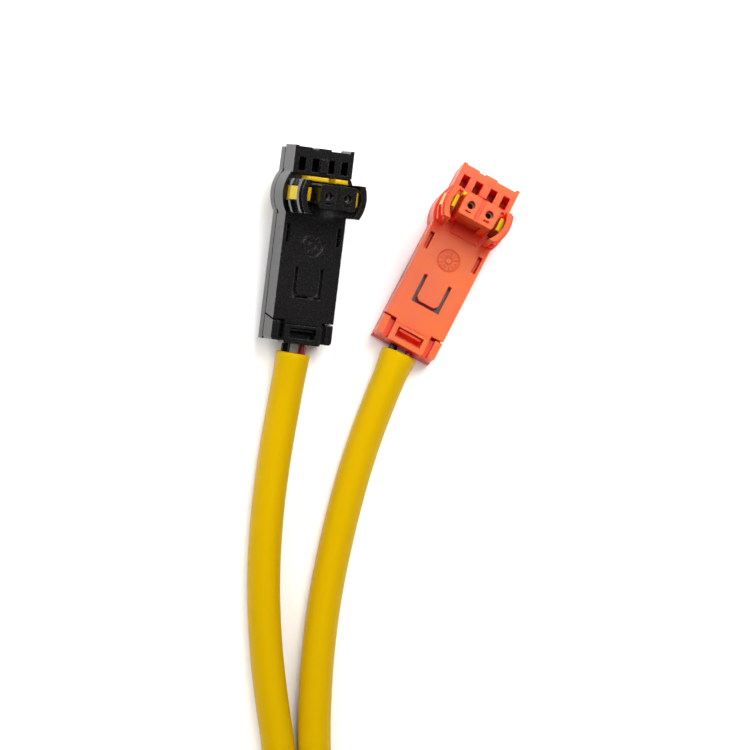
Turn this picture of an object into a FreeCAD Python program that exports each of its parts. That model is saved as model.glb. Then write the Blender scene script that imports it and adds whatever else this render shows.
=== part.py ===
"""Pair of airbag connector leads: two 90 degree squib connectors, each on its own sleeved lead.

The orange connector lies flat on its back. Its plug axis stands on the origin, +Z along the plug and
+Y from the wire end to the head. The black one lies beside it, tipped by its stiff sleeve. Both leads
run side by side to one plain in-line plug. Millimetres throughout.
"""

import FreeCAD, Part
import math
import os
import re

import Sketcher
from FreeCAD import Placement, Rotation, Vector

SIZES = {
    # connector envelope, measured from the plug axis and from the back face
    "body_width": 11.1,
    "head_inset": 0.15,
    "tail_length": 25.0,
    "head_length": 7.7,
    "bulge_radius": 6.5,
    "cover_thickness": 1.7,
    "body_height": 5.7,
    "head_rise": 0.7,
    "plug_height": 14.6,
    "side_wall": 1.0,
    "front_wall": 1.2,
    "end_wall": 1.1,
    "fit_gap": 0.1,
    "parting_gap": 0.22,
    "parting_inset": 0.2,
    "notch_length": 0.7,
    "notch_depth": 0.45,
    "notch_height": 0.65,
    # how far joined features reach into each other, and how far a cut runs past the face it opens
    "overlap": 0.2,
    "past": 1.0,
    # rows of grip grooves on the back
    "grip_width": 5.5,
    "grip_depth": 0.25,
    "grip_groove": 0.6,
    "grip_pitch": 1.2,
    "grip_row": 3.0,
    # plug block, sockets and arms
    "pin_pitch": 3.5,
    "pin_hole_diameter": 1.4,
    "plug_width": 6.6,
    "plug_front": 2.15,
    "plug_rear": 1.95,
    "plug_face_wall": 1.2,
    "plug_corner": 0.45,
    "pad_gap": 0.7,
    "pad_depth": 0.3,
    "probe_width": 1.1,
    "probe_length": 0.3,
    "probe_row": 1.3,
    "probe_depth": 0.6,
    "recess_left": 2.6,
    "recess_right": 1.7,
    "recess_depth": 0.45,
    "recess_drop": 2.6,
    "foot_left": 2.0,
    "foot_right": 3.2,
    "foot_reach": 3.8,
    "foot_rise": 0.3,
    "arm_radius": 5.6,
    "arm_wall": 0.65,
    "arm_front": 3.3,
    "arm_back": 2.4,
    "arm_drop": 1.7,
    "rib_reach": 0.6,
    "rib_thickness": 0.95,
    "lower_rib_rise": 1.65,
    "upper_rib_drop": 1.65,
    "collar_reach": 0.3,
    "collar_thickness": 0.4,
    # head block
    "head_block_start": 3.45,
    "window_width": 1.25,
    "window_length": 2.25,
    "window_row": 5.05,
    "window_outer": 3.88,
    "window_inner": 1.42,
    "horn_width": 0.55,
    "horn_rise": 0.45,
    "horn_lean": 0.2,
    "lip_rise": 0.28,
    "left_lip_end": 2.4,
    "middle_lip_start": 1.1,
    "middle_lip_end": 1.2,
    "post_rise": 0.6,
    "post_gap": 0.08,
    # sprung tongue, side slits and mould ring on the front face
    "tongue_setback": 12.7,
    "tongue_length": 5.2,
    "tongue_width": 4.1,
    "tongue_slot": 0.55,
    "tongue_corner": 0.6,
    "slit_inset": 0.9,
    "slit_width": 0.75,
    "slit_row": 6.7,
    "slit_length": 3.1,
    "ring_row": 8.4,
    "ring_radius": 2.0,
    "ring_groove": 0.25,
    "ring_depth": 0.12,
    "ring_hub": 0.75,
    # wire end cap with its loop latch
    "cap_length": 3.3,
    "cap_joint": 0.3,
    "joint_lean": 0.8,
    "cap_floor_drop": 1.3,
    "cap_corner": 0.35,
    "loop_width": 6.7,
    "loop_gap": 0.95,
    "loop_reach": 0.35,
    "loop_length": 3.2,
    "loop_corner": 0.28,
    "loop_rise": 0.4,
    "loop_foot": 0.45,
    "loop_thickness": 0.95,
    "loop_rim": 0.95,
    "catch_width": 4.2,
    "catch_thickness": 0.5,
    "catch_rise": 0.55,
    "catch_length": 0.9,
    "catch_flat": 0.4,
    "catch_gap": 0.4,
    # yellow lock slider
    "lock_recess": 0.15,
    "lock_base_top": 1.55,
    "leg_outer": 5.6,
    "leg_inner": 4.0,
    "leg_width": 2.3,
    "leg_shoulder_drop": 3.5,
    "leg_top_drop": 2.5,
    "leg_tip": 0.6,
    "barb_rise": 2.5,
    "barb_reach": 0.6,
    "barb_lip": 0.1,
    "bar_near": 2.3,
    "bar_far": 3.1,
    "bar_rise": 2.9,
    "bar_round": 0.25,
    "bar_left_start": 3.4,
    "bar_left_end": 0.5,
    "bar_right_start": 1.6,
    "bar_right_end": 3.95,
    # terminals, clip and core
    "socket_diameter": 2.1,
    "socket_bore": 1.1,
    "socket_rise": 1.8,
    "socket_floor": 1.6,
    "socket_drop": 1.6,
    "strip_width": 1.1,
    "strip_thickness": 0.4,
    "crimp_play": 0.5,
    "crimp_length": 2.6,
    "crimp_floor": 0.6,
    "clip_thickness": 0.2,
    "clip_width": 1.24,
    "clip_depth": 2.2,
    "clip_sink": 0.1,
    "clip_drop": 2.0,
    "clip_play": 0.06,
    "clip_lean": 0.25,
    "clip_bend_drop": 1.0,
    "core_side_play": 0.35,
    "core_length": 6.4,
    "core_gap": 0.4,
    "core_play": 0.3,
    "core_hole": 1.7,
    # leads
    "wire_pitch": 3.0,
    "wire_diameter": 1.5,
    "sleeve_diameter": 5.6,
    "sleeve_wall": 0.4,
    # how the black connector lies beside the orange one
    "black_across": -26.9,
    "black_along": -10.13,
    "black_yaw": 21.86,
    "black_pitch": 9.77,
    "black_roll": 14.13,
    # plain in-line plug at the far end
    "far_width": 13.4,
    "far_height": 6.4,
    "far_length": 17.0,
    "far_pitch": 2.9,
    "far_cavity": 2.4,
    "far_mouth_depth": 6.0,
    "far_mouth_wall": 1.0,
    "far_lock_width": 11.0,
    "far_lock_depth": 2.2,
    "far_lock_start": 8.2,
    "far_lock_stand": 0.15,
    "far_corner": 0.8,
    "far_latch_width": 3.2,
    "far_latch_gap": 0.8,
    "far_latch_rise": 0.5,
    "far_crimp_start": 3.0,
    "far_crimp_length": 4.0,
    "far_pin_diameter": 1.0,
    "far_pin_length": 8.0,
    "far_wire_reach": 5.0,
}

# Lengths that follow from the sizes: in an expression each name stands for its formula.
FOLLOWS = {
    "head_width": "body_width - 2 * head_inset",
    "head_height": "body_height + head_rise",
    "wire_level": "(cover_thickness + body_height - front_wall) / 2",
    "arm_top": "plug_height - arm_drop",
    "leg_shoulder": "plug_height - leg_shoulder_drop",
    "leg_top": "plug_height - leg_top_drop",
    "bar_top": "body_height + bar_rise",
    "socket_foot": "wire_level + socket_rise",
    "socket_top": "plug_height - socket_drop",
    "clip_foot": "body_height - clip_sink",
    "clip_top": "plug_height - clip_drop",
    "core_width": "body_width - 2 * side_wall - 2 * core_side_play",
    "core_thickness": "body_height - front_wall - cover_thickness - core_play",
    "core_start": "crimp_start - core_gap - core_length",
    "crimp_diameter": "body_height - front_wall - cover_thickness - crimp_play",
    "crimp_start": "tail_length - cap_length - cap_joint - end_wall - fit_gap - crimp_length",
    "cap_floor": "body_height - cap_floor_drop",
    "loop_height": "body_height + loop_rise",
    "slit_place": "body_width / 2 - slit_inset",
    "tongue_top": "tail_length - tongue_setback",
    "roof": "body_height - front_wall",
}

# Points of the two sleeves, from the connector to the far plug, on the surface they lie on.
BLACK_ROUTE = [
    (-16.2, -35.0, 3.96),
    (-14.3, -40.6, 2.9),
    (-11.3, -50.6, 2.8),
    (-7.6, -61.0, 2.8),
    (-3.0, -71.4, 2.8),
    (2.3, -80.8, 2.8),
    (7.6, -88.8, 2.8),
    (12.8, -95.9, 2.8),
    (19.1, -106.0, 2.8),
    (24.75, -116.4, 2.8),
    (29.85, -127.1, 2.8),
    (34.6, -138.0, 2.8),
    (37.7, -145.4, 2.8),
]
ORANGE_ROUTE = [
    (0.0, -26.3, 3.1),
    (0.7, -36.0, 2.8),
    (2.3, -47.5, 2.8),
    (4.9, -59.0, 2.8),
    (8.0, -70.0, 2.8),
    (12.0, -80.6, 2.8),
    (17.7, -92.8, 2.8),
    (24.1, -103.1, 2.8),
    (29.9, -113.75, 2.8),
    (35.15, -124.7, 2.8),
    (39.95, -135.75, 2.8),
    (43.0, -143.2, 2.8),
]
FAR_PLUG_PLACE = Placement(Vector(41.45, -147.1, 0), Rotation(Vector(0, 0, 1), 21.5))

GRIP_GROOVES = 5
ARC_SHARE = 0.45

doc = FreeCAD.newDocument("airbag_connector_leads")
sheet = doc.addObject("Spreadsheet::Sheet", "Sizes")
for row, (alias, value) in enumerate(SIZES.items(), start=1):
    sheet.set(f"A{row}", alias)
    sheet.set(f"B{row}", str(value))
    sheet.setAlias(f"B{row}", alias)
doc.recompute()


def size(alias):
    """The number in the sheet's cell of that alias."""
    return float(sheet.get(alias))


def bound(text):
    """The expression with formulas written out and each alias pointed at its cell in the sheet."""
    def point(word):
        alias = word.group()
        return f"({bound(FOLLOWS[alias])})" if alias in FOLLOWS else f"Sizes.{alias}"
    return re.sub(r"[a-z][a-z_]+", point, str(text))


def wire_level():
    """Level of the wires: halfway between the back cover and the front wall."""
    return (size("cover_thickness") + size("body_height") - size("front_wall")) / 2


def crimp_start():
    """How far behind the plug axis the crimps start: they end just inside the shell's end wall."""
    behind = ("cap_length", "cap_joint", "end_wall", "fit_gap", "crimp_length")
    return size("tail_length") - sum(size(alias) for alias in behind)


def new_body(name, place):
    body = doc.addObject("PartDesign::Body", name)
    body.Label = name
    body.Placement = place
    return body


def origin_plane(body, role):
    return next(item for item in body.Origin.OriginFeatures if item.Role == role)


def pin_point(sketch, geometry, vertex, across, up, x, y):
    """Fix one vertex of the sketch at (across, up), given as expressions."""
    for kind, text, start in (("DistanceX", across, x), ("DistanceY", up, y)):
        index = sketch.addConstraint(Sketcher.Constraint(kind, -1, 1, geometry, vertex, start))
        sketch.setExpression(f"Constraints[{index}]", bound(text))


def draw_polygon(sketch, corners):
    count = len(corners)
    start = [
        Vector(10 * math.cos(2 * math.pi * k / count), 10 * math.sin(2 * math.pi * k / count), 0)
        for k in range(count)
    ]
    first = sketch.GeometryCount
    for k in range(count):
        sketch.addGeometry(Part.LineSegment(start[k], start[(k + 1) % count]), False)
    for k in range(count):
        joined = first + (k + 1) % count
        sketch.addConstraint(Sketcher.Constraint("Coincident", first + k, 2, joined, 1))
    for k, (across, up) in enumerate(corners):
        pin_point(sketch, first + k, 1, across, up, start[k].x, start[k].y)


def draw_circle(sketch, across, up, radius):
    index = sketch.addGeometry(Part.Circle(Vector(1, 1, 0), Vector(0, 0, 1), 1.0), False)
    pin_point(sketch, index, 3, across, up, 1.0, 1.0)
    limit = sketch.addConstraint(Sketcher.Constraint("Radius", index, 1.0))
    sketch.setExpression(f"Constraints[{limit}]", bound(radius))


def box_loop(left, right, low, high):
    return [(left, low), (right, low), (right, high), (left, high)]


def mirrored(loop):
    """The same loop on the other side of the connector's middle plane."""
    return [(f"-({across})", up) for across, up in reversed(loop)]


def prism(body, name, loops, low, high, cut=False, role="XY_Plane"):
    """Pad, or pocket, of the loops between two levels along the plane's own axis."""
    sketch = body.newObject("Sketcher::SketchObject", f"{body.Name}_{name}_sketch")
    sketch.AttachmentSupport = [(origin_plane(body, role), "")]
    sketch.MapMode = "FlatFace"
    for loop in loops:
        if isinstance(loop, tuple):
            draw_circle(sketch, *loop)
        else:
            draw_polygon(sketch, loop)
    backwards = role == "XZ_Plane"
    level = high if cut != backwards else low
    sign = "-" if backwards else ""
    sketch.setExpression("AttachmentOffset.Base.z", bound(f"{sign}({level})"))
    kind = "PartDesign::Pocket" if cut else "PartDesign::Pad"
    feature = body.newObject(kind, f"{body.Name}_{name}")
    feature.Profile = sketch
    feature.setExpression("Length", bound(f"({high}) - ({low})"))
    doc.recompute()
    return feature


def soften(body, kind, name, amount, chosen):
    """Fillet or chamfer of the edges of the body so far that the chooser takes."""
    base = body.Tip
    edges = [f"Edge{k}" for k, edge in enumerate(base.Shape.Edges, start=1) if chosen(edge)]
    feature = body.newObject(f"PartDesign::{kind}", f"{body.Name}_{name}")
    feature.Base = (base, edges)
    feature.setExpression("Radius" if kind == "Fillet" else "Size", bound(amount))
    doc.recompute()


def near(value, target):
    return abs(value - target) < 1e-3


def upright_at(edge, across, along):
    """True for an upright edge at plus or minus across, and at one of the along places."""
    ends = edge.Vertexes
    if len(ends) != 2 or near(ends[0].Z, ends[1].Z):
        return False
    if not (near(ends[0].X, ends[1].X) and near(ends[0].Y, ends[1].Y)):
        return False
    return near(abs(ends[0].X), across) and any(near(ends[0].Y, place) for place in along)


def level_edge(edge, height):
    """True for an edge that lies wholly at that height."""
    box = edge.BoundBox
    return near(box.ZMin, height) and near(box.ZMax, height)


# Outline shared by the two shells: straight sides, a bulge round the plug axis and a narrower head.
def shell_outline(tail, inset="0"):
    side = f"body_width / 2 - {inset}"
    head = f"head_width / 2 - {inset}"
    edge = f"head_length - {inset}"
    return [
        (f"-({side})", f"-({tail})"),
        (side, f"-({tail})"),
        (side, "0"),
        (head, "head_block_start"),
        (head, edge),
        (f"-({head})", edge),
        (f"-({head})", "head_block_start"),
        (f"-({side})", "0"),
    ]


def lock_outline(gap):
    """Outline of the lock slider's base, grown by a gap."""
    reach = f"leg_outer + {gap}"
    side = f"leg_width / 2 + {gap}"
    top = f"bar_far + {gap}"
    return [
        (f"-({reach})", f"-({side})"),
        (reach, f"-({side})"),
        (reach, side),
        (f"bar_right_end + {gap}", side),
        (f"bar_right_end + {gap}", top),
        (f"-(bar_left_start + {gap})", top),
        (f"-(bar_left_start + {gap})", side),
        (f"-({reach})", side),
    ]


def make_rear_cover(prefix, place):
    body = new_body(f"{prefix}_rear_cover", place)
    prism(body, "floor", [shell_outline("tail_length")], "0", "cover_thickness")
    prism(body, "bulge", [("0", "0", "bulge_radius")], "0", "cover_thickness")
    prism(body, "lock_window", [lock_outline("fit_gap")], "0", "cover_thickness", cut=True)
    hook = box_loop("slit_place - slit_width / 2 + fit_gap", "slit_place + slit_width / 2 - fit_gap",
                    "-slit_row - slit_length / 2 + fit_gap", "-slit_row + slit_length / 2 - fit_gap")
    prism(body, "snap_arms", [hook, mirrored(hook)], "cover_thickness - overlap", "roof")
    saddle = box_loop("-core_width / 2 + fit_gap", "core_width / 2 - fit_gap",
                      "-core_start - core_length + fit_gap", "-core_start - fit_gap")
    prism(body, "core_seat", [saddle], "cover_thickness - overlap", "wire_level - core_thickness / 2")
    row = "-tail_length + grip_row"
    grip = box_loop("-grip_width / 2", "grip_width / 2", row, f"{row} + grip_groove")
    grip_rows = prism(body, "grip", [grip], "0", "grip_depth", cut=True)
    pattern = body.newObject("PartDesign::LinearPattern", f"{body.Name}_grip_rows")
    pattern.Originals = [grip_rows]
    pattern.Direction = (origin_plane(body, "Y_Axis"), [""])
    pattern.Occurrences = GRIP_GROOVES
    pattern.setExpression("Length", bound(f"grip_pitch * {GRIP_GROOVES - 1}"))
    body.Tip = pattern
    doc.recompute()
    return body


def make_housing(prefix, place):
    body = new_body(f"{prefix}_housing", place)
    end = "tail_length - cap_length - cap_joint"
    parting = "cover_thickness + parting_gap"
    prism(body, "land", [shell_outline(end, "parting_inset")], "cover_thickness", parting)
    prism(body, "land_bulge", [("0", "0", "bulge_radius - parting_inset")], "cover_thickness", parting)
    prism(body, "shell", [shell_outline(end)], parting, "body_height")
    prism(body, "bulge", [("0", "0", "bulge_radius")], parting, "body_height")
    add_arms(body)
    add_head(body)
    foot = box_loop("-foot_left", "foot_right", "-foot_reach", "0")
    prism(body, "plug_foot", [foot], "roof", "body_height + foot_rise")
    prism(body, "plug", [box_loop("-plug_width / 2", "plug_width / 2", "-plug_front", "plug_rear")],
          "roof", "plug_height")
    front = [-size("plug_front"), size("plug_rear")]
    soften(body, "Fillet", "plug_corners", "plug_corner",
           lambda edge: upright_at(edge, size("plug_width") / 2, front))
    cut_inside(body, end)
    cut_plug(body)
    cut_front_face(body)
    slope_joint(body, end)
    add_catch(body, end)
    return body


def add_arms(body):
    """Two curved arms beside the plug, each with two ribs, a collar and a window for the lock's leg."""
    wall = [("0", "0", "arm_radius"), ("0", "0", "arm_radius - arm_wall")]
    prism(body, "arms", wall, "body_height - overlap", "arm_top")
    ring = [("0", "0", "arm_radius + rib_reach"), ("0", "0", "arm_radius - arm_wall / 2")]
    ribs = (("lower_rib", "body_height + lower_rib_rise"), ("upper_rib", "arm_top - upper_rib_drop"))
    for name, start in ribs:
        prism(body, name, ring, start, f"{start} + rib_thickness")
    collar = [("0", "0", "arm_radius + collar_reach"), ("0", "0", "arm_radius - arm_wall / 2")]
    prism(body, "collar", collar, "arm_top - collar_thickness", "arm_top")
    reach = "bulge_radius + past"
    behind = box_loop(f"-({reach})", reach, "arm_back", reach)
    ahead = box_loop(f"-({reach})", reach, f"-({reach})", "-arm_front")
    prism(body, "arm_trim", [behind, ahead], "body_height", "arm_top + past", cut=True)
    window = box_loop("-leg_width / 2 - fit_gap", "leg_width / 2 + fit_gap",
                      "body_height", "leg_shoulder + fit_gap")
    prism(body, "leg_windows", [window], f"-({reach})", reach, cut=True, role="YZ_Plane")


def add_head(body):
    """Head block with its horned edge and the four terminal windows."""
    side = "head_width / 2"
    horn = "head_width / 2 - horn_width"
    edge = "head_length"
    tip = "head_length + horn_rise"
    lip = "head_length + lip_rise"
    profile = [
        (f"-{side}", "head_block_start"), (side, "head_block_start"),
        (side, tip), (horn, tip), (f"{horn} - horn_lean", edge),
        ("middle_lip_end", edge), ("middle_lip_end", lip),
        ("-middle_lip_start", lip), ("-middle_lip_start", edge),
        ("-left_lip_end + horn_lean", edge), ("-left_lip_end", lip),
        (f"-({horn}) + horn_lean", lip), (f"-({horn})", tip), (f"-{side}", tip),
    ]
    prism(body, "head", [profile], "cover_thickness + parting_gap", "head_height")
    half = "window_width / 2"
    rows = ("window_row - window_length / 2", "window_row + window_length / 2")
    windows = [
        box_loop(f"{place} - {half}", f"{place} + {half}", *rows)
        for place in ("-window_outer", "-window_inner", "window_inner", "window_outer")
    ]
    prism(body, "windows", windows, "cover_thickness", "head_height", cut=True)
    post = "window_inner - window_width / 2 - post_gap"
    frame = box_loop(f"-({post})", post, "window_row - window_length / 2", "window_row + window_length / 2")
    prism(body, "window_post", [frame], "head_height - overlap", "head_height + post_rise")


def cut_inside(body, end):
    """Wire chamber open to the back, and the slots that the lock slider runs in."""
    chamber = box_loop("-body_width / 2 + side_wall", "body_width / 2 - side_wall",
                       f"-({end}) + end_wall", "-leg_width / 2 - fit_gap")
    prism(body, "chamber", [chamber], "cover_thickness", "roof", cut=True)
    prism(body, "lock_chamber", [lock_outline("fit_gap")], "cover_thickness", "roof", cut=True)
    gap = "fit_gap"
    side = f"leg_width / 2 + {gap}"
    leg = box_loop(f"leg_inner - {gap}", f"leg_outer + {gap}", f"-({side})", side)
    rows = (f"bar_near - {gap}", f"bar_far + {gap}")
    left_bar = box_loop(f"-bar_left_start - {gap}", f"bar_left_end + {gap}", *rows)
    right_bar = box_loop(f"bar_right_start - {gap}", f"bar_right_end + {gap}", *rows)
    slots = [leg, mirrored(leg), left_bar, right_bar]
    prism(body, "lock_slots", slots, "roof", "body_height + foot_rise", cut=True)
    exits = [(f"{sign}wire_pitch / 2", "wire_level", "wire_diameter / 2 + fit_gap") for sign in ("", "-")]
    prism(body, "wire_exits", exits, f"-({end}) - past", f"-({end}) + end_wall + overlap", cut=True,
          role="XZ_Plane")


def cut_plug(body):
    """Socket bores, pin holes and clip pocket, the pads round the pins and the recessed front."""
    top = "plug_height - plug_face_wall"
    sockets = [(f"{sign}pin_pitch / 2", "0", "socket_diameter / 2 + fit_gap") for sign in ("", "-")]
    prism(body, "socket_bores", sockets, "cover_thickness", top, cut=True)
    half = "clip_width / 2 + clip_play"
    clip = box_loop(f"-({half})", half, "-clip_depth / 2 - fit_gap", "clip_depth / 2 + fit_gap")
    prism(body, "clip_pocket", [clip], "cover_thickness", top, cut=True)
    holes = [(f"{sign}pin_pitch / 2", "0", "pin_hole_diameter / 2") for sign in ("", "-")]
    prism(body, "pin_holes", holes, f"{top} - overlap", "plug_height", cut=True)
    groove = box_loop("-pad_gap / 2", "pad_gap / 2", "-plug_front - past", "plug_rear + past")
    prism(body, "pad_groove", [groove], "plug_height - pad_depth", "plug_height", cut=True)
    slot = box_loop("pin_pitch / 2 - probe_width / 2", "pin_pitch / 2 + probe_width / 2",
                    "-probe_row - probe_length / 2", "-probe_row + probe_length / 2")
    prism(body, "probe_slots", [slot, mirrored(slot)], "plug_height - probe_depth", "plug_height", cut=True)
    recess = box_loop("-recess_left", "recess_right", "-plug_front - past", "-plug_front + recess_depth")
    prism(body, "front_recess", [recess], "body_height + foot_rise", "plug_height - recess_drop", cut=True)


def cut_front_face(body):
    """Sprung tongue, side slits, the shallow mould ring and the notches at the bulge's ends."""
    out = "tongue_width / 2 + tongue_slot"
    side = "tongue_width / 2"
    top = "-tongue_top"
    low = "-tongue_top - tongue_length"
    tongue = [
        (f"-({out})", top), (f"-({out})", low), (out, low), (out, top), (side, top),
        (side, f"{low} + tongue_slot + tongue_corner"), (f"{side} - tongue_corner", f"{low} + tongue_slot"),
        (f"-({side}) + tongue_corner", f"{low} + tongue_slot"),
        (f"-({side})", f"{low} + tongue_slot + tongue_corner"), (f"-({side})", top),
    ]
    prism(body, "tongue_slot", [tongue], "roof", "body_height", cut=True)
    slit = box_loop("slit_place - slit_width / 2", "slit_place + slit_width / 2",
                    "-slit_row - slit_length / 2", "-slit_row + slit_length / 2")
    prism(body, "side_slits", [slit, mirrored(slit)], "cover_thickness", "body_height", cut=True)
    ring = [("0", "-ring_row", "ring_radius"), ("0", "-ring_row", "ring_radius - ring_groove")]
    prism(body, "mould_ring", ring, "body_height - ring_depth", "body_height", cut=True)
    hub = [("0", "-ring_row", "ring_hub"), ("0", "-ring_row", "ring_hub - ring_groove")]
    prism(body, "ring_hub", hub, "body_height - ring_depth", "body_height", cut=True)
    ends = [f"(bulge_radius ^ 2 - {width} ^ 2 / 4) ^ 0.5" for width in ("body_width", "head_width")]
    notches = []
    for start, sign in zip(ends, ("-", "")):
        near_end = f"{sign}({start}) - notch_length / 2"
        notch = box_loop("body_width / 2 - notch_depth", "bulge_radius",
                         near_end, f"{near_end} + notch_length")
        notches += [notch, mirrored(notch)]
    prism(body, "notches", notches, "cover_thickness", "cover_thickness + notch_height", cut=True)


def slope_joint(body, end):
    """Slope on the two ends of the side walls, where the end cap's corners reach up beside them."""
    slope = [
        (f"-({end}) - overlap", "cover_thickness"), (f"-({end}) + joint_lean", "cover_thickness"),
        (f"-({end}) + joint_lean", "cover_thickness + parting_gap"), (f"-({end})", "body_height"),
        (f"-({end}) - overlap", "body_height"),
    ]
    inner = "loop_width / 2 + loop_gap - fit_gap"
    outer = "body_width / 2 + overlap"
    for name, low, high in (("right", inner, outer), ("left", f"-({outer})", f"-({inner})")):
        prism(body, f"{name}_slope", [slope], low, high, cut=True, role="YZ_Plane")


def add_catch(body, end):
    """Lip above the loop latch, and the tongue under it with the wedge that the loop snaps over."""
    loop = "loop_width / 2"
    edge = "-tail_length - loop_reach + loop_length + fit_gap"
    prism(body, "latch_lip", [box_loop(f"-{loop}", loop, edge, f"-({end}) + overlap")], "roof", "body_height")
    side = "catch_width / 2"
    low = "cap_floor + fit_gap"
    high = f"{low} + catch_thickness"
    reach = "-tail_length + loop_rim + catch_gap"
    tongue = box_loop(f"-({side})", side, reach, f"-({end}) + overlap")
    prism(body, "catch_tongue", [tongue], low, high)
    back = f"{reach} + catch_length"
    wedge = [
        (reach, low), (back, low), (back, f"{high} + catch_rise"),
        (f"{back} - catch_flat", f"{high} + catch_rise"), (reach, f"{high} - overlap / 2"),
    ]
    prism(body, "catch_wedge", [wedge], f"-({side})", side, role="YZ_Plane")


def make_wire_end_cap(prefix, place):
    body = new_body(f"{prefix}_wire_end_cap", place)
    tail = "-tail_length"
    joint = "-tail_length + cap_length"
    side = "body_width / 2"
    loop = "loop_width / 2"
    rim = f"{tail} - loop_reach + loop_length"
    parting = "cover_thickness + parting_gap"
    inset = f"{side} - parting_inset"
    prism(body, "block", [box_loop(f"-{side}", side, tail, joint)], parting, "cap_floor")
    corner = box_loop(f"{loop} + loop_gap", side, tail, joint)
    prism(body, "corners", [corner, mirrored(corner)], "cap_floor - overlap", "body_height")
    soften(body, "Chamfer", "tail_corners", "cap_corner",
           lambda edge: upright_at(edge, size("body_width") / 2, [-size("tail_length")]))
    slope = [
        (f"{joint} - overlap", parting), (f"{joint} + joint_lean", parting),
        (joint, "body_height"), (f"{joint} - overlap", "body_height"),
    ]
    inner = f"{loop} + loop_gap"
    for name, low, high in (("right", inner, side), ("left", f"-({side})", f"-({inner})")):
        prism(body, f"{name}_slope", [slope], low, high, role="YZ_Plane")
    land = box_loop(f"-({inset})", inset, f"{tail} + parting_inset", joint)
    prism(body, "land", [land], "cover_thickness", parting)
    outer = box_loop(f"-{loop}", loop, f"{tail} - loop_reach", rim)
    window = box_loop(f"-{loop} + loop_rim", f"{loop} - loop_rim", f"{tail} - loop_reach + loop_rim",
                      f"{rim} - loop_rim / 2")
    prism(body, "loop", [outer, window], "loop_height - loop_thickness", "loop_height")
    foot = box_loop(f"-{loop}", loop, f"{tail} - loop_reach", f"{tail} + loop_foot")
    prism(body, "loop_foot", [foot], "cap_floor - loop_thickness", "loop_height")
    ends = [-size("tail_length") - size("loop_reach")]
    soften(body, "Fillet", "loop_corners", "loop_corner",
           lambda edge: upright_at(edge, size("loop_width") / 2, ends))
    holes = [(f"{sign}wire_pitch / 2", "wire_level", "wire_diameter / 2 + fit_gap") for sign in ("", "-")]
    prism(body, "wire_holes", holes, f"{tail} - past", f"{joint} + past", cut=True, role="XZ_Plane")
    return body


def make_lock_slider(prefix, place):
    body = new_body(f"{prefix}_lock_slider", place)
    prism(body, "base", [lock_outline("0")], "lock_recess", "lock_base_top")
    leg = box_loop("leg_inner", "leg_outer", "-leg_width / 2", "leg_width / 2")
    prism(body, "legs", [leg, mirrored(leg)], "lock_recess", "leg_shoulder")
    tip = box_loop("leg_inner", "leg_inner + leg_tip", "-leg_width / 2", "leg_width / 2")
    prism(body, "leg_tips", [tip, mirrored(tip)], "leg_shoulder - overlap", "leg_top")
    foot = "body_height + barb_rise"
    barb = [
        ("leg_outer - overlap", foot), ("leg_outer + barb_reach", foot),
        ("leg_outer + barb_lip", "leg_shoulder"), ("leg_outer - overlap", "leg_shoulder"),
    ]
    prism(body, "barbs", [barb, mirrored(barb)], "-leg_width / 2", "leg_width / 2", role="XZ_Plane")
    bars = [
        box_loop("-bar_left_start", "bar_left_end", "bar_near", "bar_far"),
        box_loop("bar_right_start", "bar_right_end", "bar_near", "bar_far"),
    ]
    prism(body, "bars", bars, "lock_recess", "bar_top")
    top = size("body_height") + size("bar_rise")
    soften(body, "Fillet", "bar_tops", "bar_round", lambda edge: level_edge(edge, top))
    return body


def make_terminal(prefix, side, sign, place):
    """Bent socket terminal: socket in the plug, strip through the core, crimp round the wire."""
    body = new_body(f"{prefix}_terminal_{side}", place)
    axis = f"{sign}pin_pitch / 2"
    prism(body, "socket", [(axis, "0", "socket_diameter / 2")], "socket_foot", "socket_top")
    half = "strip_thickness / 2"
    start = "-crimp_start - overlap"
    bend = [
        (start, f"wire_level - {half}"), (half, f"wire_level - {half}"),
        (half, "socket_foot + overlap"), (f"-{half}", "socket_foot + overlap"),
        (f"-{half}", f"wire_level + {half}"), (start, f"wire_level + {half}"),
    ]
    prism(body, "strip", [bend], f"{axis} - strip_width / 2", f"{axis} + strip_width / 2", role="YZ_Plane")
    foot = wire_level() - size("strip_thickness") / 2
    soften(body, "Fillet", "bend", "strip_thickness",
           lambda edge: level_edge(edge, foot) and near(edge.CenterOfMass.y, size("strip_thickness") / 2))
    barrel = (f"{sign}wire_pitch / 2", "wire_level", "crimp_diameter / 2")
    prism(body, "crimp", [barrel], "-crimp_start - crimp_length", "-crimp_start", role="XZ_Plane")
    core = (f"{sign}wire_pitch / 2", "wire_level", "wire_diameter / 2")
    prism(body, "wire_socket", [core], "-crimp_start - crimp_length", "-crimp_start - crimp_floor",
          cut=True, role="XZ_Plane")
    bore = (axis, "0", "socket_bore / 2")
    prism(body, "bore", [bore], "socket_foot + socket_floor", "socket_top", cut=True)
    return body


def make_shorting_clip(prefix, place):
    """Folded spring strip whose two leaves lie against the sockets."""
    body = new_body(f"{prefix}_shorting_clip", place)
    half = "clip_width / 2"
    inner = f"{half} - clip_thickness"
    bend = "clip_top - clip_bend_drop"
    floor = "clip_foot + clip_thickness"
    fold = [
        (f"-({half})", "clip_foot"), (half, "clip_foot"), (half, bend),
        (f"{half} - clip_lean", "clip_top"), (f"{inner} - clip_lean", "clip_top"),
        (inner, bend), (inner, floor), (f"-({inner})", floor), (f"-({inner})", bend),
        (f"-({inner}) + clip_lean", "clip_top"), (f"-({half}) + clip_lean", "clip_top"),
        (f"-({half})", bend),
    ]
    prism(body, "fold", [fold], "-clip_depth / 2", "clip_depth / 2", role="XZ_Plane")
    return body


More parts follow.
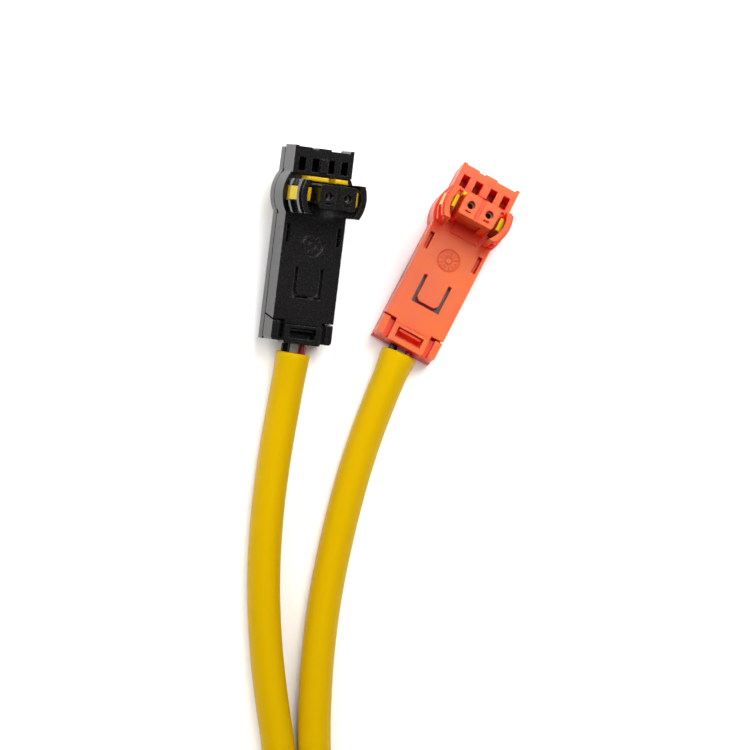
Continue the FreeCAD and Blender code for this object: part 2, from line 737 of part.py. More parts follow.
def make_ferrite_core(prefix, place):
    body = new_body(f"{prefix}_ferrite_core", place)
    block = box_loop("-core_width / 2", "core_width / 2",
                     "wire_level - core_thickness / 2", "wire_level + core_thickness / 2")
    span = ("-core_start - core_length", "-core_start")
    prism(body, "block", [block], *span, role="XZ_Plane")
    holes = [(f"{sign}pin_pitch / 2", "wire_level", "core_hole / 2") for sign in ("", "-")]
    prism(body, "holes", holes, *span, cut=True, role="XZ_Plane")
    return body


def rounded_path(points):
    """Straight runs joined by tangent arcs that take most of the shorter run; the wire and its radii."""
    edges = []
    radii = []
    start = points[0]
    for before, corner, after in zip(points, points[1:], points[2:]):
        back = before - corner
        onward = after - corner
        turn = math.pi - back.getAngle(onward)
        reach = ARC_SHARE * min(back.Length, onward.Length)
        radii.append(reach / math.tan(turn / 2))
        enter = corner + back.normalize() * reach
        leave = corner + onward.normalize() * reach
        inward = (enter + leave) * 0.5 - corner
        depth = radii[-1] / math.cos(turn / 2) - radii[-1]
        middle = corner + inward.normalize() * depth
        edges.append(Part.LineSegment(start, enter).toShape())
        edges.append(Part.Arc(enter, middle, leave).toShape())
        start = leave
    edges.append(Part.LineSegment(start, points[-1]).toShape())
    return Part.Wire(edges), radii


def tube(path, radius):
    """Solid rod of that radius along the path."""
    first = path.OrderedEdges[0]
    start = first.valueAt(first.FirstParameter)
    heading = first.tangentAt(first.FirstParameter)
    ring = Part.Wire([Part.Circle(start, heading, radius).toShape()])
    sweep = Part.BRepOffsetAPI.MakePipeShell(path)
    sweep.add(ring)
    sweep.setTransitionMode(1)
    sweep.build()
    sweep.makeSolid()
    return sweep.shape()


def add_cord(name, points, outer, inner=0.0):
    path, radii = rounded_path(points)
    shape = tube(path, outer)
    if inner:
        shape = shape.cut(tube(path, inner))
    section = math.pi * (outer ** 2 - inner ** 2)
    part = doc.addObject("Part::Feature", name)
    part.Label = name
    part.Shape = shape
    ratio = shape.Volume / (section * path.Length)
    print(f"{name}: {path.Length:.1f} mm, volume ratio {ratio:.4f}, tightest radius {min(radii):.1f}")
    return part


def wire_points(route, place, sign, far_offset):
    """Centre line of one wire: out of its crimp, along the sleeve and into the far plug."""
    offset = sign * size("wire_pitch") / 2
    level = wire_level()
    crimp_end = -crimp_start() - size("crimp_floor")
    points = [
        place.multVec(Vector(offset, crimp_end, level)),
        place.multVec(Vector(offset, -size("tail_length") - size("loop_reach"), level)),
    ]
    centres = [Vector(*point) for point in route]
    for before, centre, after in zip(centres, centres[1:], centres[2:]):
        ahead = (centre - before).normalize() + (after - centre).normalize()
        across = Vector(-ahead.y, ahead.x, 0).normalize()
        points.append(centre + across * offset)
    heading = centres[-1] - centres[-2]
    across = Vector(-heading.y, heading.x, 0).normalize()
    points.append(centres[-1] + across * offset)
    points.append(FAR_PLUG_PLACE.multVec(Vector(far_offset, -size("far_wire_reach"), centres[-1].z)))
    return points


def add_lead(prefix, place, route, far_offsets):
    radius = size("sleeve_diameter") / 2
    add_cord(f"{prefix}_sleeve", [Vector(*point) for point in route], radius, radius - size("sleeve_wall"))
    for colour, sign, far_offset in (("black", -1, far_offsets[0]), ("red", 1, far_offsets[1])):
        points = wire_points(route, place, sign, far_offset)
        add_cord(f"{prefix}_wire_{colour}", points, size("wire_diameter") / 2)


def make_far_plug():
    """Plain in-line plug that both leads share, with its lock plate and four terminals."""
    level = ORANGE_ROUTE[-1][2]
    rows = [f"{k - 1.5} * far_pitch" for k in range(4)]
    body = new_body("far_plug_housing", FAR_PLUG_PLACE)
    width = "far_width / 2"
    prism(body, "block", [box_loop(f"-{width}", width, "-far_length", "0")], "0", "far_height")
    soften(body, "Fillet", "corners", "far_corner",
           lambda edge: upright_at(edge, size("far_width") / 2, [0.0, -size("far_length")]))
    mouth = box_loop(f"-{width} + far_mouth_wall", f"{width} - far_mouth_wall",
                     "far_mouth_wall", "far_height - far_mouth_wall")
    prism(body, "mouth", [mouth], "-far_length - past", "-far_length + far_mouth_depth", cut=True,
          role="XZ_Plane")
    cavities = [(row, str(level), "far_cavity / 2") for row in rows]
    prism(body, "cavities", cavities, "-far_length", "past", cut=True, role="XZ_Plane")
    lock = box_loop("-far_lock_width / 2", "far_lock_width / 2",
                    "-far_lock_start", "-far_lock_start + far_lock_depth")
    prism(body, "lock_slot", [lock], f"{level} + far_cavity / 2 - overlap", "far_height", cut=True)
    latch = box_loop("-far_latch_width / 2", "far_latch_width / 2",
                     "-far_length + far_latch_gap", "-far_lock_start - far_latch_gap")
    prism(body, "latch", [latch], "far_height - overlap", "far_height + far_latch_rise")

    plate = new_body("far_plug_lock", FAR_PLUG_PLACE)
    slot = box_loop("-far_lock_width / 2 + fit_gap", "far_lock_width / 2 - fit_gap",
                    "-far_lock_start + fit_gap", "-far_lock_start + far_lock_depth - fit_gap")
    prism(plate, "plate", [slot], f"{level} + far_cavity / 2 - overlap / 2", "far_height + far_lock_stand")

    pins = [make_far_terminal((k - 1.5) * size("far_pitch"), level) for k in range(4)]
    group = doc.addObject("Part::Feature", "far_plug_terminals")
    group.Label = "far_plug_terminals"
    group.Shape = Part.makeCompound(pins)


def make_far_terminal(across, level):
    """One pin with its crimp round the wire end, in the far plug's frame."""
    along = Vector(0, -1, 0)
    start = Vector(across, -size("far_crimp_start"), level)
    length = size("far_crimp_length")
    crimp = Part.makeCylinder(size("far_cavity") / 2 - size("fit_gap"), length, start, along)
    depth = size("far_wire_reach") - size("far_crimp_start") + 2 * size("fit_gap")
    bore = Part.makeCylinder(size("wire_diameter") / 2 + size("fit_gap"), depth, start, along)
    pin_foot = start + along * (length - size("overlap"))
    pin = Part.makeCylinder(size("far_pin_diameter") / 2, size("far_pin_length"), pin_foot, along)
    shape = crimp.cut(bore).fuse(pin)
    shape.Placement = FAR_PLUG_PLACE
    return shape


def black_place():
    """Place of the black connector: tipped, with its lowest back corner on the surface."""
    turn = (Rotation(Vector(0, 0, 1), size("black_yaw"))
            .multiply(Rotation(Vector(1, 0, 0), size("black_pitch")))
            .multiply(Rotation(Vector(0, 1, 0), size("black_roll"))))
    corner = turn.multVec(Vector(size("body_width") / 2, -size("tail_length"), 0))
    return Placement(Vector(size("black_across"), size("black_along"), -corner.z), turn)


def make_connector(prefix, place):
    make_rear_cover(prefix, place)
    make_housing(prefix, place)
    make_wire_end_cap(prefix, place)
    make_lock_slider(prefix, place)
    make_terminal(prefix, "left", "-", place)
    make_terminal(prefix, "right", "", place)
    make_shorting_clip(prefix, place)
    make_ferrite_core(prefix, place)


def check_and_export():
    """Stop on any failed feature or bad solid, then write one STEP file a piece."""
    for item in doc.Objects:
        if "Invalid" in item.State or "Error" in item.State:
            raise RuntimeError(f"{item.Name} failed: {item.State}")
    os.makedirs("parts", exist_ok=True)
    pieces = [item for item in doc.Objects if item.TypeId in ("PartDesign::Body", "Part::Feature")]
    for piece in pieces:
        shape = piece.Shape
        if shape.isNull() or not shape.isValid() or not shape.Solids:
            raise RuntimeError(f"{piece.Label} has no sound solid")
        shape.exportStep(f"parts/{piece.Label}.step")
        print(f"{piece.Label}: {len(shape.Solids)} solid, {shape.Volume:.1f} mm3")


make_connector("orange", Placement())
make_connector("black", black_place())
far_pitch = size("far_pitch")
add_lead("orange", Placement(), ORANGE_ROUTE, (0.5 * far_pitch, 1.5 * far_pitch))
add_lead("black", black_place(), BLACK_ROUTE, (-1.5 * far_pitch, -0.5 * far_pitch))
make_far_plug()
doc.recompute()
check_and_export()
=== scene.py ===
"""Looks of a pair of airbag connector leads: two squib connectors, an orange one lying on its back
and a black one tipped beside it, their yellow sleeves, and the plug at the sleeves' far end.

Metres, in the part's own frame: the orange plug's axis is +Z through the origin, and its wires
leave towards -Y. The black connector stands in the place that BLACK_PLACE gives.
"""

import math

import bmesh
import bpy
from mathutils import Matrix, Vector


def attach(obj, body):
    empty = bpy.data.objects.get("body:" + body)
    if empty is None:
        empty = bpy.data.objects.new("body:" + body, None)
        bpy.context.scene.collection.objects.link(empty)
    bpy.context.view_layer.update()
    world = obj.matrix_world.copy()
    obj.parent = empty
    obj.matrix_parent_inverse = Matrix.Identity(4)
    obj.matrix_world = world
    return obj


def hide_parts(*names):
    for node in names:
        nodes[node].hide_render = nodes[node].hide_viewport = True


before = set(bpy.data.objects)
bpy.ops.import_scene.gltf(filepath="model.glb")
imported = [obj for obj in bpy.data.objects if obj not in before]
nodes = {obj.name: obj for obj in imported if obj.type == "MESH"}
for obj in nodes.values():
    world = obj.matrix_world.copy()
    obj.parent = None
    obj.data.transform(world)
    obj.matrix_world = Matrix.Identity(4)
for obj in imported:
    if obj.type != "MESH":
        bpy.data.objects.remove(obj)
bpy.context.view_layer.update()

MM = 0.001

# Place of each connector: its plug's axis, where it meets the surface, and how it is turned.
ORANGE_PLACE = Matrix.Identity(4)
BLACK_TURN = (Matrix.Rotation(math.radians(21.86), 4, "Z")
              @ Matrix.Rotation(math.radians(9.77), 4, "X")
              @ Matrix.Rotation(math.radians(14.13), 4, "Y"))
BLACK_PLACE = Matrix.Translation(Vector((-26.9, -10.13, 5.5776)) * MM) @ BLACK_TURN
CONNECTOR_PLACES = {"orange": ORANGE_PLACE, "black": BLACK_PLACE}

# Centre line of each sleeve, from its mouth behind the connector to the far plug.
ROUTES = {
    "orange": [
        (0.0, -0.0263, 0.0031), (0.0007, -0.036, 0.0028), (0.0023, -0.0475, 0.0028),
        (0.0049, -0.059, 0.0028), (0.008, -0.07, 0.0028), (0.012, -0.0806, 0.0028),
        (0.0177, -0.0928, 0.0028), (0.0241, -0.1031, 0.0028), (0.0299, -0.11375, 0.0028),
        (0.03515, -0.1247, 0.0028), (0.03995, -0.13575, 0.0028), (0.043, -0.1432, 0.0028),
    ],
    "black": [
        (-0.0162, -0.035, 0.00396), (-0.0143, -0.0406, 0.0029), (-0.0113, -0.0506, 0.0028),
        (-0.0076, -0.061, 0.0028), (-0.003, -0.0714, 0.0028), (0.0023, -0.0808, 0.0028),
        (0.0076, -0.0888, 0.0028), (0.0128, -0.0959, 0.0028), (0.0191, -0.106, 0.0028),
        (0.02475, -0.1164, 0.0028), (0.02985, -0.1271, 0.0028), (0.0346, -0.138, 0.0028),
        (0.0377, -0.1454, 0.0028),
    ],
}
SLEEVE_RADIUS = 2.8 * MM
SLEEVE_WALL = 0.4 * MM


# Materials: each starts from what the real piece is made of and how its surface was formed.

EDGE_RADIUS = 0.18 * MM  # what a mould leaves on every edge
PAINTED_SHADE_REACH = 5.0 * MM  # how near other plastic has to be for the painted recess shade to darken the colour


def colour(text):
    """Linear colour of an sRGB hex value."""
    parts = [int(text[k:k + 2], 16) / 255 for k in (1, 3, 5)]
    return [p / 12.92 if p <= 0.04045 else ((p + 0.055) / 1.055) ** 2.4 for p in parts] + [1.0]


def add(tree, kind, inputs=None, **settings):
    """Add a node; an input that is given another node's socket is linked, and any other is set."""
    made = tree.nodes.new(kind)
    for name, value in settings.items():
        setattr(made, name, value)
    for name, value in (inputs or {}).items():
        if isinstance(value, bpy.types.NodeSocket):
            tree.links.new(value, made.inputs[name])
        else:
            made.inputs[name].default_value = value
    return made


def new_finish(name):
    """Empty node material with its shader and output, and the tree to build it in."""
    material = bpy.data.materials.new(name)
    material.use_nodes = True
    tree = material.node_tree
    tree.nodes.clear()
    shader = add(tree, "ShaderNodeBsdfPrincipled")
    add(tree, "ShaderNodeOutputMaterial", {"Surface": shader.outputs["BSDF"]})
    return material, tree, shader


def feed(tree, shader, **sockets):
    """Link sockets to the shader's inputs, named with underscores for spaces."""
    for name, socket in sockets.items():
        tree.links.new(socket, shader.inputs[name.replace("_", " ")])


def blend_of(tree, mask, low, high):
    """Colour that runs from low to high as the mask rises from 0 to 1; each is a hex value or a socket."""
    low, high = (colour(end) if isinstance(end, str) else end for end in (low, high))
    # A Mix node has its factor at 0, its plain values at 2 and 3 and its colours at 6 and 7.
    return add(tree, "ShaderNodeMix", {0: mask, 6: low, 7: high}, data_type="RGBA").outputs[2]


def moulded(name, low, high, painted_shade_colour, roughness, spark=0.35):
    """Injection-moulded plastic: the colour drifts a little where the melt flowed, and a painted shade
    darkens it in a recess, in place of the light that meets the plastic there more than once; the tool's
    spark texture breaks the gloss, and every edge has a small radius that catches the light."""
    material, tree, shader = new_finish(name)
    place = add(tree, "ShaderNodeTexCoord").outputs["Object"]
    # Flow marks about 8 mm long.
    flow = add(tree, "ShaderNodeTexNoise", {"Vector": place, "Scale": 1 / (8 * MM), "Detail": 2.0})
    streak = add(tree, "ShaderNodeMapRange", {
        "Value": flow.outputs["Fac"], "From Min": 0.35, "From Max": 0.65})
    # Spark texture: finer than a tenth of a millimetre on the real part, drawn coarser to show.
    grain = add(tree, "ShaderNodeTexNoise", {"Vector": place, "Scale": 1 / (0.3 * MM), "Detail": 2.0})
    gloss = add(tree, "ShaderNodeMapRange", {
        "Value": grain.outputs["Fac"], "From Min": 0.3, "From Max": 0.7,
        "To Min": roughness - 0.04, "To Max": roughness + 0.05})
    rounded = add(tree, "ShaderNodeBevel", {"Radius": EDGE_RADIUS}, samples=4)
    bump = add(tree, "ShaderNodeBump", {
        "Height": grain.outputs["Fac"], "Strength": spark, "Distance": 0.004 * MM,
        "Normal": rounded.outputs["Normal"]})
    # Painted shade: where other plastic is near, the colour is pulled towards the painted recess colour,
    # standing in for the shade and bounced light in a recess.
    painted_shade_ao = add(tree, "ShaderNodeAmbientOcclusion", {"Distance": PAINTED_SHADE_REACH}, samples=6)
    painted_shade_mask = add(tree, "ShaderNodeMapRange", {
        "Value": painted_shade_ao.outputs["AO"], "From Min": 0.42, "From Max": 0.94})
    drift = blend_of(tree, streak.outputs["Result"], low, high)
    # Base colour: the flow drift, darkened towards the painted recess colour by the painted shade mask.
    feed(tree, shader, Base_Color=blend_of(tree, painted_shade_mask.outputs["Result"], painted_shade_colour, drift),
         Roughness=gloss.outputs["Result"], Normal=bump.outputs["Normal"])
    shader.inputs["IOR"].default_value = 1.5
    return material, shader


def orange_housing_plastic():
    """Orange PBT, moulded: satin and faintly see-through, with a painted dark-red shade in its recesses."""
    # The third colour is a painted red shade for recesses.
    material, shader = moulded("orange PBT, moulded", "#C04E2A", "#C65412", "#E00000", 0.34)
    shader.inputs["Subsurface Weight"].default_value = 0.8
    shader.inputs["Subsurface Radius"].default_value = (1.0, 0.12, 0.03)
    shader.inputs["Subsurface Scale"].default_value = 2.5 * MM
    shader.inputs["Specular Tint"].default_value = colour("#FFC2A8")
    return material


def black_housing_plastic():
    """Carbon-black PBT, moulded: nearly no colour of its own, so all that shows is its satin gloss."""
    # The third colour is a painted near-black shade for recesses.
    material, shader = moulded("black PBT, moulded", "#080707", "#0E0C0D", "#030303", 0.24, spark=0.08)
    shader.inputs["IOR"].default_value = 1.57
    return material


def yellow_lock_plastic():
    """Yellow PBT, moulded thin: a touch glossier than the housings because the tool was polished."""
    # The third colour is a painted darker-yellow shade for recesses.
    material, shader = moulded("yellow PBT lock, polished tool", "#C2A61E", "#CAB02A", "#BC9400", 0.3)
    shader.inputs["Specular Tint"].default_value = colour("#FFD94A")
    return material


def far_plug_plastic():
    """Yellow PA66, moulded: duller than PBT, as nylon takes up moisture."""
    # The third colour is a painted darker-yellow shade for recesses.
    material, _ = moulded("yellow PA66, moulded", "#DCB018", "#E4B824", "#C89A00", 0.45)
    return material


def sleeve_plastic():
    """Extruded PVC sleeving: fine die lines run along it, its colour drifts slowly, and the soft skin
    has a wide, weak gloss."""
    material, tree, shader = new_finish("yellow PVC sleeving, extruded")
    # The UV map holds millimetres: along the sleeve, and round it.
    place = add(tree, "ShaderNodeTexCoord").outputs["UV"]
    # Die lines 25 mm long and under half a millimetre apart.
    along = add(tree, "ShaderNodeMapping", {"Vector": place, "Scale": (0.04, 2.2, 1.0)})
    lines = add(tree, "ShaderNodeTexNoise", {"Vector": along.outputs["Vector"], "Scale": 1.0, "Detail": 4.0})
    # The colour drifts over 8 mm along the sleeve and 4 mm round it.
    slow = add(tree, "ShaderNodeMapping", {"Vector": place, "Scale": (0.12, 0.25, 1.0)})
    drift = add(tree, "ShaderNodeTexNoise", {"Vector": slow.outputs["Vector"], "Scale": 1.0, "Detail": 3.0})
    # The skin's dull spots are a third of a millimetre across.
    skin = add(tree, "ShaderNodeTexNoise", {"Vector": place, "Scale": 3.0, "Detail": 3.0})
    tone = add(tree, "ShaderNodeMix", {"Factor": 0.5, 2: lines.outputs["Fac"], 3: drift.outputs["Fac"]})
    gloss = add(tree, "ShaderNodeMapRange", {
        "Value": skin.outputs["Fac"], "From Min": 0.3, "From Max": 0.7, "To Min": 0.42, "To Max": 0.56})
    height = add(tree, "ShaderNodeMix", {"Factor": 0.4, 2: lines.outputs["Fac"], 3: skin.outputs["Fac"]})
    bump = add(tree, "ShaderNodeBump", {
        "Height": height.outputs[0], "Strength": 0.35, "Distance": 0.03 * MM})
    feed(tree, shader, Base_Color=blend_of(tree, tone.outputs[0], "#B79200", "#BE9800"),
         Roughness=gloss.outputs["Result"], Normal=bump.outputs["Normal"])
    shader.inputs["IOR"].default_value = 1.53
    shader.inputs["Subsurface Weight"].default_value = 0.08
    shader.inputs["Subsurface Radius"].default_value = (1.0, 0.6, 0.1)
    shader.inputs["Subsurface Scale"].default_value = 0.5 * MM
    shader.inputs["Specular IOR Level"].default_value = 0.3
    shader.inputs["Specular Tint"].default_value = colour("#FFC81E")
    return material


def wire_insulation(name, low, high, level=0.5):
    """Thin-wall PVC wire insulation, extruded over the strands: smooth, with a soft line of gloss."""
    material, tree, shader = new_finish(name)
    place = add(tree, "ShaderNodeTexCoord").outputs["Object"]
    # The lay of the strands shows through every 1.2 mm.
    lay = add(tree, "ShaderNodeTexNoise", {"Vector": place, "Scale": 1 / (1.2 * MM), "Detail": 2.0})
    gloss = add(tree, "ShaderNodeMapRange", {"Value": lay.outputs["Fac"], "To Min": 0.16, "To Max": 0.26})
    bump = add(tree, "ShaderNodeBump", {"Height": lay.outputs["Fac"], "Strength": 0.3, "Distance": 0.02 * MM})
    feed(tree, shader, Base_Color=blend_of(tree, lay.outputs["Fac"], low, high),
         Roughness=gloss.outputs["Result"], Normal=bump.outputs["Normal"])
    shader.inputs["IOR"].default_value = 1.53
    shader.inputs["Specular IOR Level"].default_value = level
    return material


def metal_strip(name, lines_per_mm, breaks_per_mm, detail, smooth, dull, low, high):
    """Metal strip with the fine lines that drawing or rolling leaves along it."""
    material, tree, shader = new_finish(name)
    place = add(tree, "ShaderNodeTexCoord").outputs["Object"]
    across, along = lines_per_mm / MM, breaks_per_mm / MM
    grain = add(tree, "ShaderNodeMapping", {"Vector": place, "Scale": (across, along, along)})
    lines = add(tree, "ShaderNodeTexNoise", {
        "Vector": grain.outputs["Vector"], "Scale": 1.0, "Detail": detail})
    gloss = add(tree, "ShaderNodeMapRange", {"Value": lines.outputs["Fac"], "To Min": smooth, "To Max": dull})
    feed(tree, shader, Base_Color=blend_of(tree, lines.outputs["Fac"], low, high),
         Roughness=gloss.outputs["Result"])
    shader.inputs["Metallic"].default_value = 1.0
    return material


def tinned_copper():
    """Copper strip, tin-plated then stamped: a soft grey-white metal with drawn lines and dull spots."""
    return metal_strip("tin-plated copper, stamped", lines_per_mm=9.0, breaks_per_mm=0.7, detail=2.0,
                       smooth=0.38, dull=0.55, low="#8F887C", high="#A8A195")


def spring_steel():
    """Stainless spring strip, rolled and folded: bright, with fine lines along the rolling."""
    return metal_strip("stainless spring strip, rolled", lines_per_mm=8.0, breaks_per_mm=0.6, detail=3.0,
                       smooth=0.18, dull=0.34, low="#A9A7A3", high="#C4C2BE")


def sintered_ferrite():
    """Sintered ferrite: a dark, slightly sparkling ceramic with an open grain."""
    material, tree, shader = new_finish("ferrite, sintered")
    place = add(tree, "ShaderNodeTexCoord").outputs["Object"]
    # Grain drawn at a quarter of a millimetre, coarser than it is, so that it shows.
    grain = add(tree, "ShaderNodeTexVoronoi", {"Vector": place, "Scale": 1 / (0.25 * MM)})
    gloss = add(tree, "ShaderNodeMapRange", {
        "Value": grain.outputs["Distance"], "To Min": 0.35, "To Max": 0.7})
    bump = add(tree, "ShaderNodeBump", {
        "Height": grain.outputs["Distance"], "Strength": 0.4, "Distance": 0.02 * MM})
    feed(tree, shader, Base_Color=blend_of(tree, grain.outputs["Distance"], "#2C2A2B", "#4A4748"),
         Roughness=gloss.outputs["Result"], Normal=bump.outputs["Normal"])
    return material


ORANGE = orange_housing_plastic()
BLACK = black_housing_plastic()
YELLOW = yellow_lock_plastic()
SLEEVE = sleeve_plastic()
FAR_YELLOW = far_plug_plastic()
TIN = tinned_copper()
STEEL = spring_steel()
FERRITE = sintered_ferrite()
WIRE_BLACK = wire_insulation("black PVC wire insulation", "#030303", "#080707", level=0.2)
WIRE_RED = wire_insulation("red PVC wire insulation", "#960C18", "#B01624")

# Finish of each piece, by its full name, or by its name after the connector's colour where both
# connectors' are alike.
HOUSING_FINISHES = {"orange": ORANGE, "black": BLACK}
PIECE_FINISHES = {
    "lock_slider": YELLOW,
    "terminal_left": TIN,
    "terminal_right": TIN,
    "shorting_clip": STEEL,
    "ferrite_core": FERRITE,
    "wire_black": WIRE_BLACK,
    "wire_red": WIRE_RED,
    "far_plug_housing": FAR_YELLOW,
    "far_plug_lock": YELLOW,
    "far_plug_terminals": TIN,
}
for connector, plastic in HOUSING_FINISHES.items():
    for shell in ("housing", "rear_cover", "wire_end_cap"):
        PIECE_FINISHES[f"{connector}_{shell}"] = plastic


def dress_nodes():
    """Give each solid of the part that stays in view its finish; the sleeves' solids get none."""
    for name, node in nodes.items():
        finish = PIECE_FINISHES.get(name) or PIECE_FINISHES.get(name.split("_", 1)[1])
        if finish is None:
            continue
        node.data.materials.clear()
        node.data.materials.append(finish)


# Sleeves: hollow tubes along their routes, with a rounded lip where they were cut.

MOUTH_REACH = 5.0 * MM  # how far back from its mouth a sleeve is still pressed oval by the two wires
MOUTH_OVAL = {"orange": 0.12, "black": 0.05}  # how much wider than round each mouth is
MOUTH_SQUEEZE = 0.6  # how much of that gain in width it loses in height
LIP = 0.12 * MM
AROUND = 56


def route_line(route):
    """Points of the smooth curve through a route."""
    curve = bpy.data.curves.new("route", "CURVE")
    curve.dimensions = "3D"
    curve.resolution_u = 12
    spline = curve.splines.new("NURBS")
    spline.points.add(len(route) - 1)
    for point, place in zip(spline.points, route):
        point.co = (*place, 1.0)
    spline.order_u = 3
    spline.use_endpoint_u = True
    carrier = bpy.data.objects.new("route", curve)
    bpy.context.collection.objects.link(carrier)
    graph = bpy.context.evaluated_depsgraph_get()
    mesh = bpy.data.meshes.new_from_object(carrier.evaluated_get(graph))
    line = [vertex.co.copy() for vertex in mesh.vertices]
    bpy.data.objects.remove(carrier)
    bpy.data.meshes.remove(mesh)
    return line


def ring_frames(line):
    """Middle of the sleeve at each point of its line, and the directions to its side, up and ahead."""
    frames = []
    for k, middle in enumerate(line):
        ahead = (line[min(k + 1, len(line) - 1)] - line[max(k - 1, 0)]).normalized()
        side = ahead.cross(Vector((0, 0, 1))).normalized()
        frames.append((middle, side, side.cross(ahead), ahead))
    return frames


def sleeve_sections(last):
    """Rings of a sleeve, in order: along its outside, round the far lip, back inside and round the
    mouth's lip. Each is a point's index on the line, a radius, and how far ahead of the point it is."""
    inner = SLEEVE_RADIUS - SLEEVE_WALL
    outside = [(k, SLEEVE_RADIUS, 0.0) for k in range(1, last)]
    inside = [(k, inner, 0.0) for k in range(last - 1, 0, -1)]
    return [
        (0, SLEEVE_RADIUS - LIP, 0.0), (0, SLEEVE_RADIUS, LIP),
        *outside,
        (last, SLEEVE_RADIUS, -LIP), (last, SLEEVE_RADIUS - LIP, 0.0),
        (last, inner + LIP, 0.0), (last, inner, -LIP),
        *inside,
        (0, inner, LIP), (0, inner + LIP, 0.0),
    ]


def sleeve_mesh(prefix, line):
    """Closed tube along a line, with a UV map in millimetres along it and round it."""
    frames = ring_frames(line)
    travelled = [0.0]
    for before, after in zip(line, line[1:]):
        travelled.append(travelled[-1] + (after - before).length)
    mesh = bmesh.new()
    uv = mesh.loops.layers.uv.new("UVMap")
    rings = []
    for k, radius, shift in sleeve_sections(len(line) - 1):
        middle, side, up, ahead = frames[k]
        oval = MOUTH_OVAL[prefix] * max(0.0, 1 - travelled[k] / MOUTH_REACH) ** 2
        wide, high = 1 + oval, 1 - oval * MOUTH_SQUEEZE
        ring = []
        for step in range(AROUND):
            angle = 2 * math.pi * step / AROUND
            reach = side * math.cos(angle) * wide + up * math.sin(angle) * high
            ring.append(mesh.verts.new(middle + ahead * shift + reach * radius))
        rings.append((travelled[k] + shift, ring))
    girth = 2 * math.pi * SLEEVE_RADIUS / AROUND
    for index, (start, ring) in enumerate(rings):
        stop, following = rings[(index + 1) % len(rings)]
        for step in range(AROUND):
            beside = (step + 1) % AROUND
            face = mesh.faces.new((ring[step], ring[beside], following[beside], following[step]))
            face.smooth = True
            corners = ((start, step), (start, step + 1), (stop, step + 1), (stop, step))
            for loop, (place, turn) in zip(face.loops, corners):
                loop[uv].uv = (place / MM, turn * girth / MM)
    bmesh.ops.recalc_face_normals(mesh, faces=mesh.faces)
    data = bpy.data.meshes.new(f"{prefix}_yellow_sleeve")
    mesh.to_mesh(data)
    mesh.free()
    data.materials.append(SLEEVE)
    return data


def make_sleeve(prefix):
    """One connector's sleeve in place of its plain solid, as a hollow tube along its route to the far plug.
    """
    line = route_line(ROUTES[prefix])
    sleeve = bpy.data.objects.new(f"{prefix}_yellow_sleeve", sleeve_mesh(prefix, line))
    bpy.context.collection.objects.link(sleeve)
    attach(sleeve, "root")
    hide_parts(f"{prefix}_sleeve")


# Mould ring: the ring of ticks that a date insert leaves on each housing, kept blank.

TICKS = 12
RING_ROW = -8.4 * MM  # how far behind the plug's axis the ring's middle is
RING_LEVEL = 5.7 * MM  # the housing's front face, from its back
TICK_CIRCLE = 1.3 * MM
TICK_SIZE = (0.55 * MM, 0.24 * MM, 0.2 * MM)  # towards the middle, upright and round the circle


def ring_tree():
    """Geometry nodes: one tick for each step of a circle, turned to face outwards."""
    tree = bpy.data.node_groups.new("mould_ring_ticks", "GeometryNodeTree")
    for name, kind in (("Count", "NodeSocketInt"), ("Radius", "NodeSocketFloat"),
                       ("Tick Size", "NodeSocketVector"), ("Finish", "NodeSocketMaterial")):
        tree.interface.new_socket(name, in_out="INPUT", socket_type=kind)
    tree.interface.new_socket("Geometry", in_out="OUTPUT", socket_type="NodeSocketGeometry")
    given = add(tree, "NodeGroupInput")
    circle = add(tree, "GeometryNodeCurvePrimitiveCircle", {
        "Resolution": given.outputs["Count"], "Radius": given.outputs["Radius"]}, mode="RADIUS")
    points = add(tree, "GeometryNodeCurveToPoints", {"Curve": circle.outputs["Curve"]}, mode="EVALUATED")
    tick = add(tree, "GeometryNodeMeshCube", {"Size": given.outputs["Tick Size"]})
    placed = add(tree, "GeometryNodeInstanceOnPoints", {
        "Points": points.outputs["Points"], "Instance": tick.outputs["Mesh"],
        "Rotation": points.outputs["Rotation"]})
    real = add(tree, "GeometryNodeRealizeInstances", {"Geometry": placed.outputs["Instances"]})
    dressed = add(tree, "GeometryNodeSetMaterial", {
        "Geometry": real.outputs["Geometry"], "Material": given.outputs["Finish"]})
    add(tree, "NodeGroupOutput", {"Geometry": dressed.outputs["Geometry"]})
    return tree


def make_mould_ring(prefix, tree):
    """Ticks of one connector's ring, as a plain mesh on the front of its housing."""
    blank = bpy.data.meshes.new("ring")
    maker = bpy.data.objects.new("ring", blank)
    bpy.context.collection.objects.link(maker)
    modifier = maker.modifiers.new("ticks", "NODES")
    modifier.node_group = tree
    sockets = {item.name: item.identifier for item in tree.interface.items_tree if item.in_out == "INPUT"}
    for name, value in (("Count", TICKS), ("Radius", TICK_CIRCLE), ("Tick Size", TICK_SIZE),
                        ("Finish", HOUSING_FINISHES[prefix])):
        modifier[sockets[name]] = value
    graph = bpy.context.evaluated_depsgraph_get()
    mesh = bpy.data.meshes.new_from_object(maker.evaluated_get(graph))
    bpy.data.objects.remove(maker)
    bpy.data.meshes.remove(blank)
    mesh.name = f"{prefix}_mould_ring_ticks"
    mesh.transform(CONNECTOR_PLACES[prefix] @ Matrix.Translation(Vector((0, RING_ROW, RING_LEVEL))))
    ticks = bpy.data.objects.new(mesh.name, mesh)
    bpy.context.collection.objects.link(ticks)
    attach(ticks, "root")


# Surroundings: a pale floor, soft lights and the camera at the picture's own angle.

FLOOR_REACH = 3.0  # from its middle to each side


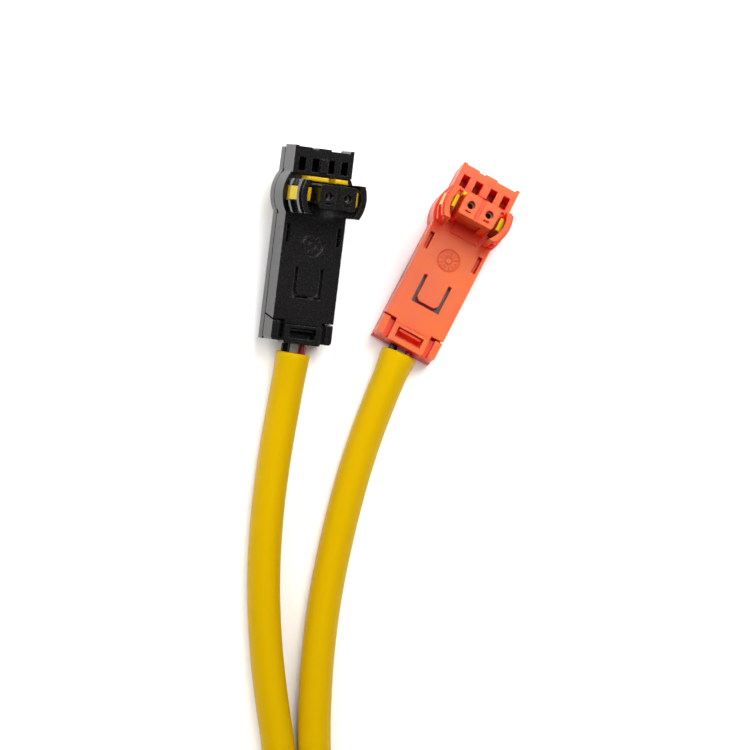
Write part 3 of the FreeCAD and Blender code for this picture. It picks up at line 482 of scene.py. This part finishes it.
def make_floor():
    """Sheet of white card under the leads, far wider than any view of them."""
    mesh = bpy.data.meshes.new("floor")
    corners = [(x * FLOOR_REACH, y * FLOOR_REACH, 0) for x, y in ((-1, -1), (1, -1), (1, 1), (-1, 1))]
    mesh.from_pydata(corners, [], [(0, 1, 2, 3)])
    floor = bpy.data.objects.new("floor", mesh)
    bpy.context.collection.objects.link(floor)
    material, tree, shader = new_finish("white matt card")
    place = add(tree, "ShaderNodeTexCoord").outputs["Object"]
    # The card's fibres clump over a millimetre or two.
    fibre = add(tree, "ShaderNodeTexNoise", {"Vector": place, "Scale": 0.6 / MM, "Detail": 2.0})
    feed(tree, shader, Base_Color=blend_of(tree, fibre.outputs["Fac"], "#F8F8F7", "#FBFBFA"))
    shader.inputs["Roughness"].default_value = 0.9
    mesh.materials.append(material)


def make_light(name, place, aim, size, watts, spread=180.0):
    """Square softbox; a spread under 180 degrees stands for a grid on its front."""
    data = bpy.data.lights.new(name, "AREA")
    data.shape = "SQUARE"
    data.size = size
    data.energy = watts
    data.spread = math.radians(spread)
    light = bpy.data.objects.new(name, data)
    light.location = place
    light.rotation_euler = (Vector(aim) - Vector(place)).to_track_quat("-Z", "Y").to_euler()
    bpy.context.collection.objects.link(light)


def make_lights():
    """Five small softboxes round the leads, a wide one high above them, and a dim white tent."""
    plug = (0.0, 0.0, 0.0)
    middle = (-0.01, -0.04, 0.0)
    # The key has a grid, so its light falls off down the sleeves.
    make_light("key_softbox", (0.0, 0.14, 0.26), plug, size=0.20, watts=0.122, spread=60.0)
    make_light("rim_softbox", (0.20, 0.36, 0.36), middle, size=0.20, watts=0.7)
    make_light("top_softbox", (-0.10, 0.10, 1.60), middle, size=0.60, watts=7.6)
    make_light("left_softbox", (-0.42, 0.04, 0.30), middle, size=0.26, watts=1.8)
    make_light("right_softbox", (0.46, 0.05, 0.20), middle, size=0.26, watts=0.4)
    make_light("front_softbox", (0.05, -0.42, 0.22), plug, size=0.24, watts=0.54)
    tent = bpy.data.worlds.new("white tent")
    tent.use_nodes = True
    background = tent.node_tree.nodes["Background"]
    background.inputs["Color"].default_value = colour("#FFFFFF")
    background.inputs["Strength"].default_value = 0.08
    bpy.context.scene.world = tent


# Camera, fitted to the picture: where its middle ray meets the floor, how far off it stands, the way
# back to it from there, and the way that is up in the picture.
CAMERA_AIM = Vector((-1.71, -30.80, 0.0)) * MM
CAMERA_DISTANCE = 893.7 * MM
CAMERA_BACK = Vector((-0.0891, -0.1987, 0.976))
CAMERA_UP = Vector((-0.4736, 0.8705, 0.1339))
CAMERA_LENS = 250.9


def make_camera():
    """Long lens, far off and nearly overhead, where the picture was taken from."""
    data = bpy.data.cameras.new("camera")
    data.lens = CAMERA_LENS
    data.sensor_width = 36.0
    data.sensor_fit = "HORIZONTAL"
    data.clip_start = 0.01
    camera = bpy.data.objects.new("camera", data)
    back = CAMERA_BACK.normalized()
    right = CAMERA_UP.normalized().cross(back).normalized()
    up = back.cross(right)
    turn = Matrix((right, up, back)).transposed().to_4x4()
    camera.matrix_world = Matrix.Translation(CAMERA_AIM + back * CAMERA_DISTANCE) @ turn
    bpy.context.collection.objects.link(camera)
    bpy.context.scene.camera = camera
    # Colours as the eye matches them to the picture's, without a film curve.
    bpy.context.scene.view_settings.view_transform = "Standard"


dress_nodes()
for connector in CONNECTOR_PLACES:
    make_sleeve(connector)
ticks_tree = ring_tree()
for connector in CONNECTOR_PLACES:
    make_mould_ring(connector, ticks_tree)
make_floor()
make_lights()
make_camera()
